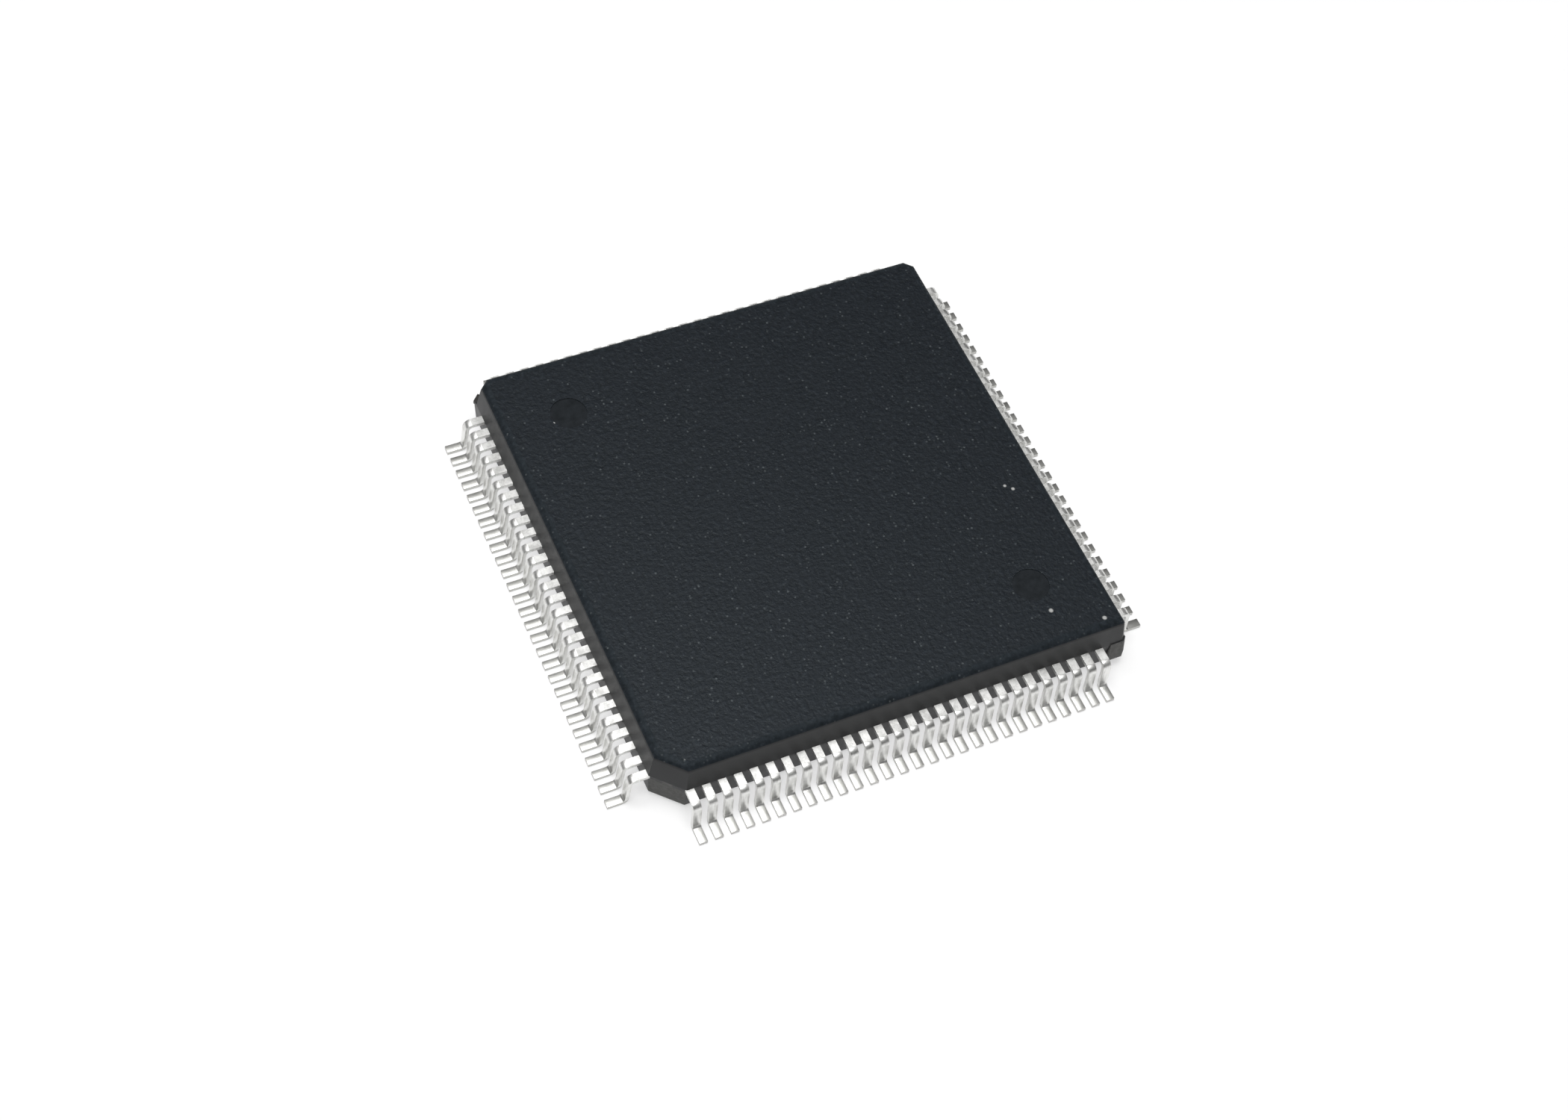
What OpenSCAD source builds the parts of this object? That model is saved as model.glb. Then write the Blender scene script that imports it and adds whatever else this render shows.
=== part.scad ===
// Quad flat package: a moulded plastic body with a row of gull-wing leads on each of its four sides.
// Millimetres, Z up. The origin is the middle of the package on the plane that its feet stand on.
// X runs along the front row of leads, and the corner with the large chamfer is at minus X, minus Y.

/* [Moulded body] */
// Width of the body at the parting line, the same both ways
body_w = 20; // [19.6:0.1:21]
// Thickness of the body
body_t = 2.7; // [2.5:0.05:3]
// Height of the body's underside above the feet
standoff = 0.1; // [0.05:0.05:0.25]
// Slope of the side faces from upright, in degrees, above the parting line
draft = 9; // [5:0.5:12]
// Slope of the side faces below it
lower_draft = 4; // [3:0.5:9]
// Radius along the top edges
top_r = 0.35; // [0.2:0.05:0.5]
// Radius along the bottom edges
bottom_r = 0.2; // [0.1:0.05:0.4]
// Chamfer on the index corner
index_chamfer = 1.1; // [0.9:0.1:1.3]
// Chamfer on the other three corners
corner_chamfer = 0.18; // [0.12:0.02:0.3]
// Chamfer on the upper half of the two back corners
upper_chamfer = 0.46; // [0.36:0.02:0.6]

/* [Gate stub] */
// Length along each side of the stub that the mould's gate leaves at one corner
gate_len = 0.7; // [0.5:0.05:0.8]
// Distance that the stub reaches up past the leads' upper face
gate_up = 0.04; // [0.02:0.01:0.06]
// Distance that the stub stands out beyond the sides along its top
gate_lip = 0.03; // [0.02:0.01:0.06]
// Distance that it stands out where it is widest
gate_out = 0.16; // [0.1:0.01:0.2]
// Height of the stub
gate_h = 1.15; // [0.9:0.05:1.2]
// Chamfer on the stub's upright edge
gate_edge = 0.14; // [0.1:0.01:0.2]
// Slanted break along the stub's lower edge
gate_break = 0.16; // [0.1:0.01:0.2]

/* [Ejector marks] */
// Diameter of the round marks that the mould's ejector pins leave
mark_d = 1.5; // [0.8:0.1:2]
// Depth of the marks
mark_h = 0.03; // [0.02:0.01:0.12]
// Distance of each mark's middle from the two nearest sides
mark_inset = 3; // [2.5:0.05:4]

/* [Leads] */
// Number of leads on each side
leads_per_side = 28; // [24:1:28]
// Distance between the middles of two leads
pitch = 0.65; // [0.6:0.01:0.66]
// Width of a lead
lead_w = 0.34; // [0.26:0.01:0.38]
// Thickness of the sheet that the leads and the die pad are stamped from
sheet_t = 0.17; // [0.12:0.01:0.2]
// Distance that a lead reaches out from the body's side
lead_reach = 1.6; // [1.4:0.05:1.8]
// Length of the flat shoulder outside the body
shoulder = 0.51; // [0.4:0.01:0.6]
// Inside radius of the two bends
bend_r = 0.145; // [0.1:0.005:0.18]
// Slope of the leg from level, in degrees
leg_slope = 86; // [78:1:88]

/* [Inside the body] */
// Distance from the body's side to where a lead turns towards the die
fan_inset = 0.3; // [0.2:0.05:0.4]
// Length of the straight tip at a lead's inner end
tip_len = 0.6; // [0.4:0.05:0.8]
// Width of an inner tip
tip_w = 0.21; // [0.16:0.01:0.23]
// Gap between the die pad and the inner tips, seen from above
tip_gap = 0.7; // [0.5:0.05:0.9]
// Gap between a tie bar and the inner tip next to it
tie_gap = 0.27; // [0.2:0.01:0.35]
// Width of the square die pad
pad_w = 10.4; // [9:0.1:10.8]
// Drop of the die pad below the leads
downset = 0.2; // [0.1:0.02:0.3]
// Width of the tie bars that run from the pad to the body's corners
tie_w = 0.4; // [0.3:0.05:0.45]
// Length of a tie bar beside the pad before it climbs
tie_low = 0.4; // [0.2:0.1:0.8]
// Length over which a tie bar climbs
tie_climb = 0.5; // [0.3:0.1:1]
// Width of the square silicon die
die_w = 8; // [7.6:0.1:8.4]
// Thickness of the die
die_t = 0.35; // [0.2:0.05:0.5]
// Thickness of the adhesive under the die
glue_t = 0.03; // [0.02:0.01:0.06]
// Width of adhesive that shows round the die
glue_edge = 0.15; // [0.05:0.05:0.25]

/* [Bond wires] */
// Thickness of a wire
wire_t = 0.03; // [0.02:0.005:0.05]
// Diameter of the ball that a wire starts from on the die
ball_d = 0.08; // [0.06:0.005:0.1]
// Height of the ball
ball_h = 0.02; // [0.01:0.005:0.03]
// Rise of a wire's loop above the die
loop_h = 0.2; // [0.15:0.05:0.4]
// Distance from the die's edge to the wires
bond_inset = 0.15; // [0.1:0.01:0.2]
// Distance from the die's corner along its edge to the first wire
bond_corner = 0.49; // [0.4:0.01:0.6]
// Distance from the end of an inner tip to where its wire lands
stitch_inset = 0.2; // [0.15:0.01:0.3]

/* [Hidden] */

// Heights of the layers
body_z0 = standoff;
body_z1 = standoff + body_t;
sheet_z0 = standoff + (body_t - sheet_t) / 2;
sheet_z1 = sheet_z0 + sheet_t;
pad_z1 = sheet_z1 - downset;
pad_z0 = pad_z1 - sheet_t;
die_z0 = pad_z1 + glue_t;
die_z1 = die_z0 + die_t;

// Distances from the middle to the side faces and to the chamfers, at the parting line
side = body_w / 2;
index_face = (body_w - index_chamfer) / sqrt(2);
corner_face = (body_w - corner_chamfer) / sqrt(2);
// Distance over the tips of two opposite rows of leads
tip_span = body_w + 2 * lead_reach;
// Longer and higher than the whole package, for sweeps that are trimmed by other shapes
beyond = 2 * tip_span;

// Inner tips: their distance from the middle, and the pitch that keeps the end ones clear of the tie bars
tip_at = pad_w / 2 + tip_gap;
tip_row = 2 * (tip_at - sqrt(2) * (tie_w / 2 + tie_gap));
tip_pitch = (tip_row - tip_w) / (leads_per_side - 1);
// Distance between the middles of two wires on the die
bond_pitch = (die_w - 2 * bond_corner) / (leads_per_side - 1);

// Steps along one rounded edge, one bend and one wire
arc_steps = 8;
wire_steps = 8;

// Points on an arc about a centre, from one angle to another
function arc(centre, r, from, to) =
    [for (k = [0 : arc_steps]) let (a = from + (to - from) * k / arc_steps) centre + r * [cos(a), sin(a)]];

// Lead frame

// The gull wing seen from its end: u runs outwards from the middle of the package.
// The bends' middle line falls by the drop between the sheet and the feet.
bend_mid = bend_r + sheet_t / 2;
leg_len = (sheet_z0 - 2 * bend_mid * (1 - cos(leg_slope))) / sin(leg_slope);
knee = [side + shoulder, sheet_z1 - sheet_t / 2 - bend_mid];
leg_reach = 2 * bend_mid * sin(leg_slope) + leg_len * cos(leg_slope);
heel = [knee[0] + leg_reach, sheet_t / 2 + bend_mid];

module gull_wing() {
    outer_r = bend_r + sheet_t;
    polygon(concat(
        [[tip_at, sheet_z1]],
        arc(knee, outer_r, 90, 90 - leg_slope),
        arc(heel, bend_r, 270 - leg_slope, 270),
        [[tip_span / 2, sheet_t], [tip_span / 2, 0]],
        arc(heel, outer_r, 270, 270 - leg_slope),
        arc(knee, bend_r, 90 - leg_slope, 90),
        [[tip_at, sheet_z0]]
    ));
}

// Places along a row, counted from its middle
function place(i, step) = (i - (leads_per_side - 1) / 2) * step;

// One stamped lead seen from above, from its foot in to its tip by the die
module lead_outline(i) {
    x = place(i, pitch);
    tip_x = place(i, tip_pitch);
    half = lead_w / 2;
    tip_half = tip_w / 2;
    turn = side - fan_inset;
    fan_end = tip_at + tip_len;
    polygon([
        [x - half, -tip_span / 2], [x - half, -turn], [tip_x - tip_half, -fan_end], [tip_x - tip_half, -tip_at],
        [tip_x + tip_half, -tip_at], [tip_x + tip_half, -fan_end], [x + half, -turn], [x + half, -tip_span / 2]
    ]);
}

module lead_outlines() {
    for (i = [0 : leads_per_side - 1]) lead_outline(i);
}

// The front row: the stamped outlines, bent as the gull wing
module lead_row() {
    color([0.83, 0.84, 0.84])
    intersection() {
        rotate([90, 0, -90]) linear_extrude(beyond, center = true) gull_wing();
        linear_extrude(body_z1) lead_outlines();
    }
}

// A tie bar seen from its side: it leaves the pad low, climbs to the leads' level and ends in the corner
module tie_bar(corner) {
    root = (pad_w - tie_w) / sqrt(2) - tie_w;
    low_end = pad_w / sqrt(2) + tie_low;
    high_start = low_end + tie_climb;
    rotate([90, 0, 0]) linear_extrude(tie_w, center = true)
    polygon([
        [root, pad_z0], [low_end, pad_z0], [high_start, sheet_z0], [corner, sheet_z0],
        [corner, sheet_z1], [high_start, sheet_z1], [low_end, pad_z1], [root, pad_z1]
    ]);
}

module die_pad() {
    color([0.72, 0.45, 0.3]) {
        translate([-pad_w / 2, -pad_w / 2, pad_z0]) cube([pad_w, pad_w, sheet_t]);
        rotate(225) tie_bar(index_face);
        for (turn = [-45, 45, 135]) rotate(turn) tie_bar(corner_face);
    }
}

// Die and its wires

module die_attach() {
    w = die_w + 2 * glue_edge;
    color([0.75, 0.76, 0.78]) translate([-w / 2, -w / 2, pad_z1]) cube([w, w, glue_t]);
}

module silicon_die() {
    color([0.32, 0.33, 0.4]) translate([-die_w / 2, -die_w / 2, die_z0]) cube([die_w, die_w, die_t]);
}

// Middle line of a wire's loop: it leaves the die upright and lands on its lead at a slant.
// The two middle points of the curve stand this much higher than the loop itself.
crown = 1.5;
fall = die_z1 - sheet_z1;

function loop_at(t, l) =
    3 * t * (1 - t) * crown * loop_h * [0, 1] + 3 * t * t * (1 - t) * [l / 2, 0] + t * t * t * [l, -fall];
function loop_slope(t, l) =
    3 * (1 - 2 * t) * crown * loop_h * [0, 1] + 3 * (2 * t - 3 * t * t) * [l / 2, 0] + 3 * t * t * [l, -fall];
// Point beside the middle line, half a wire to its left (s = 1) or right (s = -1)
function beside(t, l, s) =
    let (d = loop_slope(t, l))
    loop_at(t, l) + s * wire_t / 2 * [-d[1], d[0]] / norm(d);

module wire_loop(l) {
    landing = loop_slope(1, l);
    patch = wire_t / 2 * norm(landing) / -landing[1];
    rise = [for (k = [0 : wire_steps - 1]) k / wire_steps];
    polygon(concat(
        [for (t = rise) beside(t, l, 1)],
        [[l + patch, -fall], [l - patch, -fall]],
        [for (k = [1 : wire_steps]) beside(rise[wire_steps - k], l, -1)]
    ));
}

// One wire of the front row, from its ball on the die out to the inner tip of its lead
module bond_wire(i) {
    from = [place(i, bond_pitch), -die_w / 2 + bond_inset];
    to = [place(i, tip_pitch), -tip_at - stitch_inset];
    run = to - from;
    translate([from[0], from[1], die_z1]) {
        cylinder(d = ball_d, h = ball_h, $fn = 32);
        rotate([90, 0, atan2(run[1], run[0])])
        linear_extrude(wire_t, center = true)
        wire_loop(norm(run));
    }
}

module wire_row() {
    color([0.9, 0.72, 0.3]) for (i = [0 : leads_per_side - 1]) bond_wire(i);
}

// The four rows are the front row turned about the package's middle
module front_leads() lead_row();
module right_leads() rotate(90) lead_row();
module back_leads() rotate(180) lead_row();
module left_leads() rotate(270) lead_row();

module front_bond_wires() wire_row();
module right_bond_wires() rotate(90) wire_row();
module back_bond_wires() rotate(180) wire_row();
module left_bond_wires() rotate(270) wire_row();

// Moulded body

// One rounded corner of the body's section. The side slopes in above or below the parting band,
// and the arc touches it and the level face.
function top_arc(u) =
    let (z = body_z1 - top_r, x = u - (z - sheet_z1) * tan(draft) - top_r / cos(draft))
    arc([x, z], top_r, draft, 90);
function bottom_arc(u) =
    let (z = body_z0 + bottom_r, x = u - (sheet_z0 - z) * tan(lower_draft) - bottom_r / cos(lower_draft))
    arc([x, z], bottom_r, -90, -lower_draft);
// The upper half may stand back by an inset, which leaves a ledge along the parting line.
function half_section(u, inset = 0) =
    concat(
        bottom_arc(u), [[u, sheet_z0], [u, sheet_z1]],
        inset > 0 ? [[u - inset, sheet_z1]] : [], top_arc(u - inset)
    );
function mirrored(points) =
    [for (k = [1 : len(points)]) let (p = points[len(points) - k]) [-p[0], p[1]]];

// A section swept right across the package: the body is where four such sweeps meet
module sweep(face, opposite, inset = 0) {
    rotate([90, 0, 0]) linear_extrude(beyond, center = true)
    polygon(concat(half_section(face, inset), mirrored(half_section(opposite))));
}

module body_form() {
    ledge = (upper_chamfer - corner_chamfer) / sqrt(2);
    intersection() {
        sweep(side, side);
        rotate(90) sweep(side, side);
        rotate(45) sweep(corner_face, index_face, ledge);
        rotate(135) sweep(corner_face, corner_face, ledge);
    }
}

// The gate is where the compound ran into the mould: it is broken off and leaves a rough stub.
// The stub covers the end of a tie bar. It widens downwards, and a slanted cut takes its lower edge off.
module stub_sweep(back, face) {
    high = sheet_z1 + gate_up;
    low = high - gate_h;
    widest = face + gate_out;
    rotate([90, 0, 0]) linear_extrude(beyond, center = true)
    polygon([
        [back, low], [widest - gate_break, low], [widest, low + gate_break], [face + gate_lip, high], [back, high]
    ]);
}

module gate_stub() {
    back = side - gate_len;
    edge = sqrt(2) * side - gate_edge / sqrt(2);
    intersection() {
        stub_sweep(back, side);
        rotate(90) stub_sweep(back, side);
        rotate(45) stub_sweep(0, edge);
    }
}

module ejector_mark(turn, z) {
    mark_at = (side - mark_inset) * sqrt(2);
    rotate(turn) translate([mark_at, 0, z - mark_h]) cylinder(d = mark_d, h = 2 * mark_h, $fn = 64);
}

// The body is moulded round everything inside it, so it holds their exact shapes as hollows
module moulded_body() {
    color([0.17, 0.18, 0.2])
    difference() {
        union() {
            body_form();
            rotate(-90) gate_stub();
        }
        for (turn = [-45, 135]) ejector_mark(turn, body_z1);
        for (turn = [-45, 45, 135, 225]) ejector_mark(turn, body_z0);
        for (turn = [0, 90, 180, 270]) rotate(turn) {
            translate([0, 0, sheet_z0]) linear_extrude(sheet_t) lead_outlines();
            wire_row();
        }
        die_pad();
        die_attach();
        silicon_die();
    }
}

die_pad();
die_attach();
silicon_die();
front_leads();
right_leads();
back_leads();
left_leads();
front_bond_wires();
right_bond_wires();
back_bond_wires();
left_bond_wires();
moulded_body();
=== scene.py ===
import math

import bmesh
import bpy
from mathutils import Matrix, Vector


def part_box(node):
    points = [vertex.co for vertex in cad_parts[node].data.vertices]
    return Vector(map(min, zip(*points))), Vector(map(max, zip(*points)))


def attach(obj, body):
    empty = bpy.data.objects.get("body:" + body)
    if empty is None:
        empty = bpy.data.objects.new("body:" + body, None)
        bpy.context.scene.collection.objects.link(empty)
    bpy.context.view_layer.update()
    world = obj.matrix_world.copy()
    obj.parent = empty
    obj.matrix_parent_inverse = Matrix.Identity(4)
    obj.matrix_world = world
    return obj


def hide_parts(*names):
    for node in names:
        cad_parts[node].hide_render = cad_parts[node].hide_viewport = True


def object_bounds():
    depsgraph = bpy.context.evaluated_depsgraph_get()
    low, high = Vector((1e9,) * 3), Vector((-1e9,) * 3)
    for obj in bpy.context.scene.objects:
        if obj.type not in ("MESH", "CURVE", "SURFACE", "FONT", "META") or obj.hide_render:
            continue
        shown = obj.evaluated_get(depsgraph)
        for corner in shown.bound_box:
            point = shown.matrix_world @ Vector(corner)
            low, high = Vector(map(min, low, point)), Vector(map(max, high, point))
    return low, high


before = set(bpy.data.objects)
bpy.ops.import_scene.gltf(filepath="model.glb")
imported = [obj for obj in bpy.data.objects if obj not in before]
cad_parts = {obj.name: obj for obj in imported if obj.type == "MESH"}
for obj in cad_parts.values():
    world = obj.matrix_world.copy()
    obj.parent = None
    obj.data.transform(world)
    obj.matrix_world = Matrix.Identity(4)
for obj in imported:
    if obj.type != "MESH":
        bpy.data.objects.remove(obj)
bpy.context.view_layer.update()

# Die pad: the square plate in the middle of the lead frame, with a tie bar to each corner of the body.
# Rolled copper alloy sheet, stamped in one piece with the leads and pressed down below their level.
# The rolling leaves fine lines along the sheet, and the cut ends of the tie bars are tarnished.
MM = 0.001
# Distances from the middle, in millimetres, between which a tie bar turns from clean to tarnished
TARNISHES = (12.8, 13.1)
TARNISH = (0.035, 0.033, 0.031, 1.0)


def new_finish(name):
    finish = bpy.data.materials.new(name)
    finish.use_nodes = True
    return finish, finish.node_tree, finish.node_tree.nodes["Principled BSDF"]


def add(tree, kind, sockets, **settings):
    made = tree.nodes.new("ShaderNode" + kind)
    for key, value in settings.items():
        setattr(made, key, value)
    for key, value in sockets.items():
        if isinstance(value, bpy.types.NodeSocket):
            tree.links.new(value, made.inputs[key])
        else:
            made.inputs[key].default_value = value
    return made


def in_millimetres(tree, stretch=(1.0, 1.0, 1.0)):
    place = add(tree, "TexCoord", {}).outputs["Object"]
    scale = [s / MM for s in stretch]
    return add(tree, "Mapping", {"Vector": place, "Scale": scale}).outputs["Vector"]


def noise(tree, place, per_mm, detail=2.0, roughness=0.5):
    sockets = {"Vector": place, "Scale": per_mm, "Detail": detail, "Roughness": roughness}
    return add(tree, "TexNoise", sockets).outputs["Fac"]


def spread(tree, value, low, high, to_low, to_high):
    sockets = {"Value": value, "From Min": low, "From Max": high, "To Min": to_low, "To Max": to_high}
    return add(tree, "MapRange", sockets).outputs["Result"]


def colours(tree, value, stops):
    ramp = add(tree, "ValToRGB", {"Fac": value})
    elements = ramp.color_ramp.elements
    while len(elements) < len(stops):
        elements.new(0.5)
    for element, (at, colour) in zip(elements, stops):
        element.position = at
        element.color = (*colour, 1.0)
    return ramp.outputs["Color"]


def blend(tree, share, first, second):
    return add(tree, "Mix", {"Factor": share, 6: first, 7: second}, data_type="RGBA").outputs[2]


def bump(tree, height, depth, strength):
    sockets = {"Height": height, "Distance": depth, "Strength": strength}
    return add(tree, "Bump", sockets).outputs["Normal"]


def feed(tree, shader, **sockets):
    for key, value in sockets.items():
        socket = shader.inputs[key.replace("_", " ")]
        if isinstance(value, bpy.types.NodeSocket):
            tree.links.new(value, socket)
        else:
            socket.default_value = value


def coat(node, finish):
    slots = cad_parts[node].data.materials
    slots.clear()
    slots.append(finish)


rolled_copper, tree, shader = new_finish("rolled_copper")
rolling = noise(tree, in_millimetres(tree, (0.4, 12.0, 12.0)), 1.0, 3.0)
clean = colours(tree, rolling, [(0.3, (0.56, 0.27, 0.15)), (0.7, (0.68, 0.36, 0.21))])
across = in_millimetres(tree, (1.0, 1.0, 0.0))
from_middle = add(tree, "VectorMath", {0: across}, operation="LENGTH").outputs["Value"]
tarnish = spread(tree, from_middle, *TARNISHES, 0.0, 1.0)
feed(
    tree, shader,
    Base_Color=blend(tree, tarnish, clean, TARNISH),
    Metallic=spread(tree, tarnish, 0.0, 1.0, 1.0, 0.2),
    Roughness=spread(tree, rolling, 0.3, 0.7, 0.28, 0.42),
    Normal=bump(tree, rolling, 0.004 * MM, 0.6),
)
coat("die_pad", rolled_copper)

# Die attach: the thin layer that holds the die on its pad, squeezed out a little all round.
# Epoxy full of silver flakes, printed as a paste and cured.
silver_epoxy, tree, shader = new_finish("silver_epoxy")
flakes = add(tree, "TexVoronoi", {"Vector": in_millimetres(tree), "Scale": 40.0}).outputs["Color"]
flake = add(tree, "SeparateColor", {"Color": flakes}).outputs["Red"]
feed(
    tree, shader,
    Base_Color=colours(tree, flake, [(0.2, (0.3, 0.3, 0.31)), (0.9, (0.62, 0.62, 0.63))]),
    Metallic=0.6,
    Roughness=spread(tree, flake, 0.0, 1.0, 0.35, 0.6),
    Normal=bump(tree, flake, 0.003 * MM, 0.4),
)
coat("die_attach", silver_epoxy)

# Silicon die: a square sawn from a polished wafer, with rectangular fields of circuitry on its face.
# The fields are thin oxide films, so each has its own dull tint.
circuit_face, tree, shader = new_finish("circuit_face")
grid = in_millimetres(tree)
fields = add(tree, "TexVoronoi", {"Vector": grid, "Scale": 0.9}, distance="CHEBYCHEV").outputs["Color"]
tint = add(tree, "SeparateColor", {"Color": fields}).outputs["Green"]
tracks = add(tree, "TexBrick", {"Vector": grid, "Scale": 6.0, "Mortar Size": 0.03}).outputs["Fac"]
feed(
    tree, shader,
    Base_Color=colours(tree, tint, [
        (0.0, (0.07, 0.075, 0.11)), (0.4, (0.1, 0.09, 0.14)),
        (0.75, (0.08, 0.12, 0.13)), (1.0, (0.16, 0.15, 0.16)),
    ]),
    Metallic=0.5,
    Roughness=spread(tree, tracks, 0.0, 1.0, 0.12, 0.3),
    Normal=bump(tree, tracks, 0.001 * MM, 0.5),
)
coat("silicon_die", circuit_face)

# Leads: 28 strips on each side, stamped from the same sheet as the pad, bent down and out as gull wings.
# Copper alloy with a satin tin plating; the feet are painted darker, as painted shade. The press leaves
# the edges slightly rounded, and the tips are sheared off after plating, so the end faces are bare and
# darker.
LEAD_ROWS = ("front_leads", "right_leads", "back_leads", "left_leads")
LEAD_ARRIS = 0.006 * MM
SHARP_ANGLE = math.radians(40)
FLAT_ANGLE = math.radians(1)
WELD = 0.0001 * MM
SHEET_T = 0.17 * MM
FACING_OUT = 0.9
# Heights, in millimetres, between which the painted shade on the feet gives way to the plain tin of the
# legs
FOOT_SHADE_UP_TO = (0.172, 0.2)
# Share and colour of the painted shade on the feet
FOOT_SHADE_SHARE = 0.85
PAINTED_FOOT_SHADE_TIN = (0.5, 0.5, 0.475, 1.0)


def welded(node):
    mesh = bmesh.new()
    mesh.from_mesh(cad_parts[node].data)
    bmesh.ops.remove_doubles(mesh, verts=mesh.verts, dist=WELD)
    bmesh.ops.dissolve_limit(mesh, angle_limit=FLAT_ANGLE, verts=mesh.verts, edges=mesh.edges)
    return mesh


def corners(mesh, least):
    paired = [edge for edge in mesh.edges if len(edge.link_faces) == 2]
    return [edge for edge in paired if edge.calc_face_angle() > least]


def as_piece(mesh, name, node, finishes):
    data = bpy.data.meshes.new(name)
    for face in mesh.faces:
        face.smooth = True
    mesh.to_mesh(data)
    mesh.free()
    for finish in finishes:
        data.materials.append(finish)
    piece = bpy.data.objects.new(name, data)
    bpy.context.scene.collection.objects.link(piece)
    piece.modifiers.new("flat_faces", "WEIGHTED_NORMAL").keep_sharp = True
    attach(piece, "root")
    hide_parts(node)
    return piece


tin_plate, tree, shader = new_finish("tin_plate")
place = in_millimetres(tree)
grain = noise(tree, place, 22.0, 3.0, 0.6)
cloud = noise(tree, place, 2.2, 2.0)
streaks = noise(tree, in_millimetres(tree, (14.0, 14.0, 0.9)), 1.0, 2.0, 0.6)
tone = add(tree, "Math", {0: streaks, 1: cloud}, operation="MULTIPLY").outputs["Value"]
plain_tin = colours(tree, tone, [
    (0.14, (0.7, 0.7, 0.68)), (0.26, (0.87, 0.87, 0.85)), (0.4, (0.93, 0.93, 0.91)),
])
height = add(tree, "SeparateXYZ", {"Vector": place}).outputs["Z"]
# Painted shade: below these heights the tin of the feet is painted darker
painted_foot_shade = spread(tree, height, *FOOT_SHADE_UP_TO, FOOT_SHADE_SHARE, 0.0)
feed(
    tree, shader,
    Base_Color=blend(tree, painted_foot_shade, plain_tin, PAINTED_FOOT_SHADE_TIN),
    Metallic=0.9,
    Roughness=spread(tree, cloud, 0.3, 0.7, 0.35, 0.43),
    Normal=bump(tree, grain, 0.004 * MM, 0.5),
)

sheared_tip, tree, shader = new_finish("sheared_tip")
shear = noise(tree, in_millimetres(tree, (30.0, 30.0, 2.0)), 1.0, 2.0)
feed(
    tree, shader,
    Base_Color=colours(tree, shear, [(0.3, (0.68, 0.67, 0.65)), (0.7, (0.86, 0.85, 0.83))]),
    Metallic=0.55,
    Roughness=spread(tree, shear, 0.3, 0.7, 0.4, 0.6),
    Normal=bump(tree, shear, 0.003 * MM, 0.5),
)

tip_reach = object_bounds()[1][0]
for row in LEAD_ROWS:
    leads = welded(row)
    bmesh.ops.bevel(
        leads, geom=corners(leads, SHARP_ANGLE), offset=LEAD_ARRIS, offset_type="OFFSET",
        segments=2, profile=0.5, affect="EDGES", clamp_overlap=True,
    )
    for face in leads.faces:
        out = max(abs(face.normal.x), abs(face.normal.y))
        middle = face.calc_center_median()
        at_tip = max(abs(middle.x), abs(middle.y)) > tip_reach - LEAD_ARRIS / 4
        face.material_index = 1 if at_tip and out > FACING_OUT else 0
    piece = as_piece(leads, "tinned_" + row, row, [tin_plate, sheared_tip])

# Bond wires: one from the die to the inner end of each lead, in a loop.
# Drawn gold, welded to the die by a ball and to the lead by a squeezed end.
drawn_gold, tree, shader = new_finish("drawn_gold")
draw_lines = noise(tree, in_millimetres(tree), 30.0, 2.0)
feed(
    tree, shader,
    Base_Color=colours(tree, draw_lines, [(0.3, (0.78, 0.5, 0.16)), (0.7, (0.92, 0.66, 0.26))]),
    Metallic=1.0,
    Roughness=spread(tree, draw_lines, 0.3, 0.7, 0.18, 0.3),
)
for row in ("front_bond_wires", "right_bond_wires", "back_bond_wires", "left_bond_wires"):
    coat(row, drawn_gold)

# Moulded body: black epoxy with fine glass filler, pressed hot round the lead frame in a two-part mould.
# Spark erosion makes the mould's level faces grainy, its sides are smoother, and its pins leave marks.
# The compound is torn off at the gate; below the index chamfer the same pale finish is painted on as
# painted reflection; specks of dust lie on top.
BODY_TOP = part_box("moulded_body")[1].z
BODY_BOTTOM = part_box("moulded_body")[0].z
PARTING = ((BODY_TOP + BODY_BOTTOM - SHEET_T) / 2, (BODY_TOP + BODY_BOTTOM + SHEET_T) / 2)
MARK_DEPTH = 0.03 * MM
GATE_FROM = 9.25 * MM
GATE_LOW = 0.42 * MM
GATE_HIGH = PARTING[1] + 0.05 * MM
INDEX_FROM = 18.3 * MM
HAIR = 0.001 * MM
FACET_ANGLE = math.radians(5)
ROUNDING_ANGLE = math.radians(30)
# How level a face is, as the upward share of its normal
LEVEL = 0.999
ALMOST_LEVEL = 0.9
SLOPING = 0.5
UPRIGHT = 0.1
DUST_GREY = (0.42, 0.42, 0.41, 1.0)
FILLER_GREY = (0.085, 0.095, 0.1, 1.0)
# Middle and radius of each speck of dust, in millimetres
DUST = (
    (7.2, -8.35, 0.11), (9.05, -9.4, 0.11), (8.2, -2.35, 0.08),
    (8.45, -2.6, 0.09), (-7.7, 6.75, 0.06), (-8.85, -9.4, 0.07),
)


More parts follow.
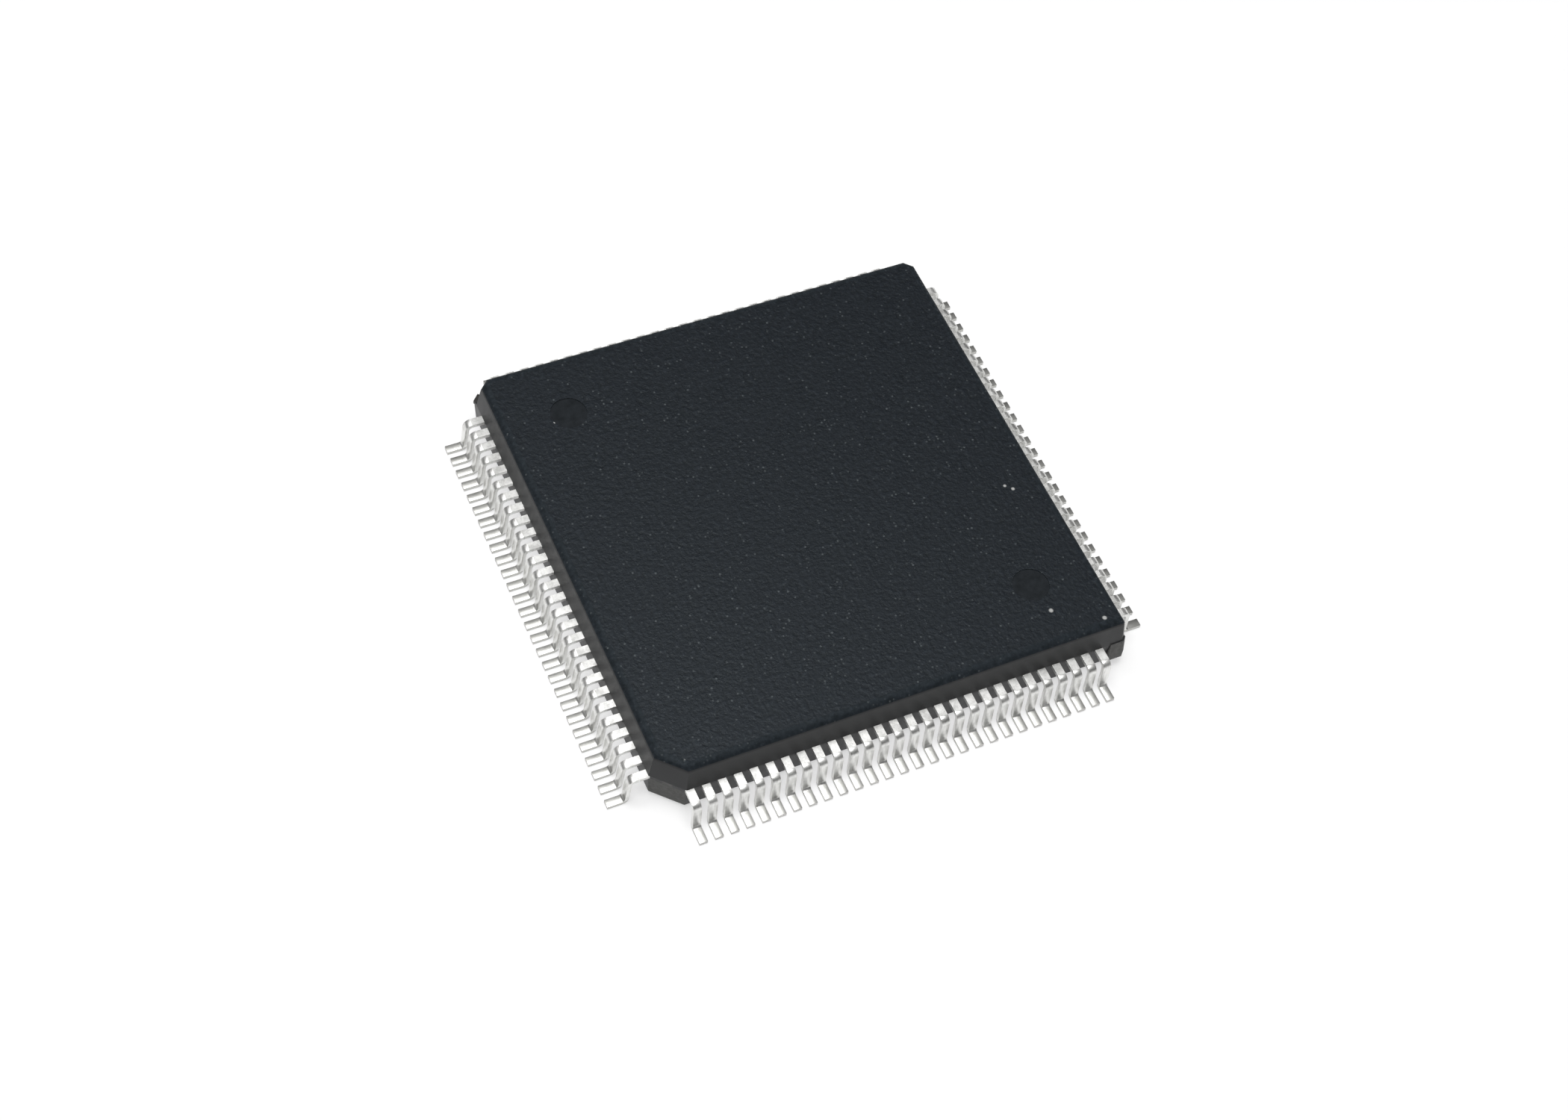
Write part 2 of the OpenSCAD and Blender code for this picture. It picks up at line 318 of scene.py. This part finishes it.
def grained_epoxy(name, dark, middle, pale, least_rough, most_rough, specular, dust=()):
    finish, tree, shader = new_finish(name)
    place = in_millimetres(tree)
    pits = noise(tree, place, 5.0, 3.0, 0.65)
    mottle = noise(tree, place, 1.1, 2.0)
    cells = add(tree, "TexVoronoi", {"Vector": place, "Scale": 6.0}).outputs
    lot = add(tree, "SeparateColor", {"Color": cells["Color"]}).outputs["Red"]
    spot = spread(tree, cells["Distance"], 0.1, 0.34, 1.0, 0.0)
    drawn = spread(tree, lot, 0.4, 1.0, 0.0, 1.0)
    strong = add(tree, "Math", {0: drawn, 1: 4.0}, operation="POWER").outputs["Value"]
    speck = add(tree, "Math", {0: spot, 1: strong}, operation="MULTIPLY").outputs["Value"]
    ground = colours(tree, pits, [(0.3, dark), (0.55, middle), (0.75, pale)])
    colour = blend(tree, speck, ground, FILLER_GREY)
    for x, y, radius in dust:
        middle_of_speck = (x, y, BODY_TOP / MM)
        sockets = {0: place, 1: middle_of_speck}
        away = add(tree, "VectorMath", sockets, operation="DISTANCE").outputs["Value"]
        share = spread(tree, away, radius / 2, radius, 1.0, 0.0)
        colour = blend(tree, share, colour, DUST_GREY)
    feed(
        tree, shader,
        Base_Color=colour,
        Roughness=spread(tree, mottle, 0.3, 0.7, least_rough, most_rough),
        Specular_IOR_Level=specular,
        Specular_Tint=(0.84, 0.94, 1.0, 1.0),
        Normal=bump(tree, pits, 0.025 * MM, 0.85),
    )
    return finish


spark_grain = grained_epoxy(
    "spark_grain", (0.001, 0.002, 0.0036), (0.004, 0.0058, 0.0092), (0.012, 0.0155, 0.021),
    0.42, 0.5, 0.34, DUST,
)
edge_grain = grained_epoxy(
    "edge_grain", (0.005, 0.0075, 0.0095), (0.0125, 0.0165, 0.021), (0.024, 0.03, 0.036),
    0.6, 0.72, 0.24,
)

smooth_moulding, tree, shader = new_finish("smooth_moulding")
place = in_millimetres(tree)
flow = noise(tree, in_millimetres(tree, (1.0, 1.0, 0.35)), 3.0, 3.0)
fine = noise(tree, place, 16.0, 2.0)
feed(
    tree, shader,
    Base_Color=colours(tree, flow, [(0.3, (0.0106, 0.0115, 0.0128)), (0.7, (0.0172, 0.0185, 0.0205))]),
    Roughness=spread(tree, flow, 0.3, 0.7, 0.4, 0.5),
    Specular_IOR_Level=0.4,
    Normal=bump(tree, fine, 0.004 * MM, 0.5),
)

pin_mark, tree, shader = new_finish("pin_mark")
stain = noise(tree, in_millimetres(tree), 2.5, 4.0, 0.6)
feed(
    tree, shader,
    Base_Color=colours(tree, stain, [(0.3, (0.006, 0.0085, 0.0105)), (0.7, (0.015, 0.0185, 0.0225))]),
    Roughness=spread(tree, stain, 0.3, 0.7, 0.42, 0.5),
    Specular_IOR_Level=0.15,
    Normal=bump(tree, stain, 0.006 * MM, 0.4),
)

# Torn compound at the gate; on the faces below the index chamfer this paler finish is painted reflection
gate_break_and_painted_reflection, tree, shader = new_finish("gate_break_and_painted_reflection")
torn = noise(tree, in_millimetres(tree), 7.0, 4.0, 0.6)
feed(
    tree, shader,
    Base_Color=colours(tree, torn, [(0.3, (0.165, 0.165, 0.161)), (0.7, (0.26, 0.26, 0.254))]),
    Roughness=spread(tree, torn, 0.3, 0.7, 0.7, 0.85),
    Specular_IOR_Level=0.3,
    Normal=bump(tree, torn, 0.02 * MM, 0.6),
)

body = welded("moulded_body")
for edge in corners(body, FACET_ANGLE):
    middle = (edge.verts[0].co + edge.verts[1].co) / 2
    on_parting = min(abs(middle.z - z) for z in PARTING) < HAIR
    edge.smooth = edge.calc_face_angle() < ROUNDING_ANGLE and not on_parting
finishes = [spark_grain, edge_grain, smooth_moulding, pin_mark, gate_break_and_painted_reflection]


def finish_at(face):
    middle = face.calc_center_median()
    level = abs(face.normal.z)
    below_face = min(BODY_TOP - middle.z, middle.z - BODY_BOTTOM)
    at_gate = min(middle.x, -middle.y) > GATE_FROM and GATE_LOW < middle.z < GATE_HIGH
    # Below the index chamfer the paler finish is painted reflection of the white sheet, not a tear
    painted_reflection_at_index = middle.x + middle.y < -INDEX_FROM and middle.z < PARTING[0]
    if level > LEVEL and below_face < HAIR:
        return spark_grain
    if level < ALMOST_LEVEL and (at_gate or painted_reflection_at_index):
        return gate_break_and_painted_reflection
    if below_face < MARK_DEPTH + HAIR and not UPRIGHT < level < LEVEL:
        return pin_mark
    if SLOPING < level < LEVEL:
        return edge_grain
    return smooth_moulding


for face in body.faces:
    face.material_index = finishes.index(finish_at(face))
moulding = as_piece(body, "moulded_package", "moulded_body", finishes)

# Table: the white sheet that the package stands on, with a round backdrop of the same white a metre away.
# Both glow for the camera and in reflections only, and the sheet still takes the package's soft shadow.
TABLE_HALF = 1.1
BACKDROP_R = 1.0
BACKDROP_TOP = 0.75
ROUND_SIDES = 96
TABLE_GREY = 0.42
TABLE_GLOW = 1.0 - TABLE_GREY


def set_up(mesh, name, finish):
    data = bpy.data.meshes.new(name)
    mesh.to_mesh(data)
    mesh.free()
    data.materials.append(finish)
    thing = bpy.data.objects.new(name, data)
    bpy.context.scene.collection.objects.link(thing)
    return thing


def add_ring(mesh, radius, bottom, height):
    bmesh.ops.create_cone(
        mesh, cap_ends=False, segments=ROUND_SIDES, radius1=radius, radius2=radius, depth=height,
        matrix=Matrix.Translation((0, 0, bottom + height / 2)),
    )


table_white, tree, shader = new_finish("table_white")
shader.inputs["Base Color"].default_value = (TABLE_GREY, TABLE_GREY, TABLE_GREY, 1.0)
shader.inputs["Roughness"].default_value = 0.9
shader.inputs["Specular IOR Level"].default_value = 0.0
path = add(tree, "LightPath", {}).outputs
seen = path["Is Camera Ray"]
for ray in ("Is Glossy Ray", "Is Transmission Ray"):
    seen = add(tree, "Math", {0: seen, 1: path[ray]}, operation="MAXIMUM").outputs[0]
glow = add(tree, "Math", {0: seen, 1: TABLE_GLOW}, operation="MULTIPLY").outputs[0]
tree.links.new(glow, shader.inputs["Emission Strength"])
shader.inputs["Emission Color"].default_value = (1.0, 1.0, 1.0, 1.0)
sheet = bmesh.new()
bmesh.ops.create_grid(sheet, x_segments=1, y_segments=1, size=TABLE_HALF)
add_ring(sheet, BACKDROP_R, 0.0, BACKDROP_TOP)
for face in sheet.faces:
    face.smooth = True
table = set_up(sheet, "table", table_white)

# Studio: a white dome, one soft box almost overhead, and a ring of dim walls round the package.
# The walls end less than half way up the dome, and show only as dark lines in bends and rounded edges.
DOME_STRENGTH = 0.2
world = bpy.data.worlds.new("dome")
bpy.context.scene.world = world
world.use_nodes = True
sky = world.node_tree.nodes["Background"].inputs
sky["Color"].default_value = (1.0, 1.0, 1.0, 1.0)
sky["Strength"].default_value = DOME_STRENGTH

WALL_R = 0.6
WALL_BOTTOM = 0.02
WALL_HEIGHT = 0.45
wall_grey, tree, shader = new_finish("wall_grey")
shader.inputs["Base Color"].default_value = (0.03, 0.03, 0.03, 1.0)
shader.inputs["Roughness"].default_value = 0.9
ring = bmesh.new()
add_ring(ring, WALL_R, WALL_BOTTOM, WALL_HEIGHT)
wall = set_up(ring, "studio_wall", wall_grey)
wall.visible_camera = False

BOX_SIDE = 0.5
BOX_AWAY = 0.7
BOX_RADIANCE = 6.5
BOX_HEADING = math.radians(285)
BOX_RISE = math.radians(83)


def towards(heading, rise):
    ahead = Vector((math.sin(heading), math.cos(heading), 0))
    return ahead * math.cos(rise) + Vector((0, 0, math.sin(rise)))


to_box = towards(BOX_HEADING, BOX_RISE)
soft_box = bpy.data.lights.new("soft_box", "AREA")
soft_box.shape = "SQUARE"
soft_box.size = BOX_SIDE
soft_box.energy = BOX_RADIANCE * math.pi * BOX_SIDE ** 2
lamp = bpy.data.objects.new("soft_box", soft_box)
lamp.location = to_box * BOX_AWAY
lamp.rotation_euler = to_box.to_track_quat("Z", "Y").to_euler()
lamp.visible_camera = False
bpy.context.scene.collection.objects.link(lamp)

# Camera: where the photograph was taken from, solved from the places of the leads.
# It looks down over the corner between the front and the left side, and is rolled a little.
EYE = Vector((-31.380, -48.705, 83.228)) * MM
HEADING = math.radians(32.728)
LOOKING_DOWN = math.radians(55.693)
ROLL = math.radians(-10.377)
forward = towards(HEADING, -LOOKING_DOWN)
level = forward.cross(Vector((0, 0, 1))).normalized()
right = math.cos(ROLL) * level + math.sin(ROLL) * forward.cross(level)
up = right.cross(forward)
view = bpy.data.cameras.new("camera")
view.sensor_fit = "HORIZONTAL"
view.sensor_width = 36.0
view.lens = 57.087
view.clip_start = 1 * MM
camera = bpy.data.objects.new("camera", view)
camera.matrix_world = Matrix.Translation(EYE) @ Matrix((right, up, -forward)).transposed().to_4x4()
bpy.context.scene.collection.objects.link(camera)
bpy.context.scene.camera = camera
bpy.context.scene.view_settings.view_transform = "Standard"
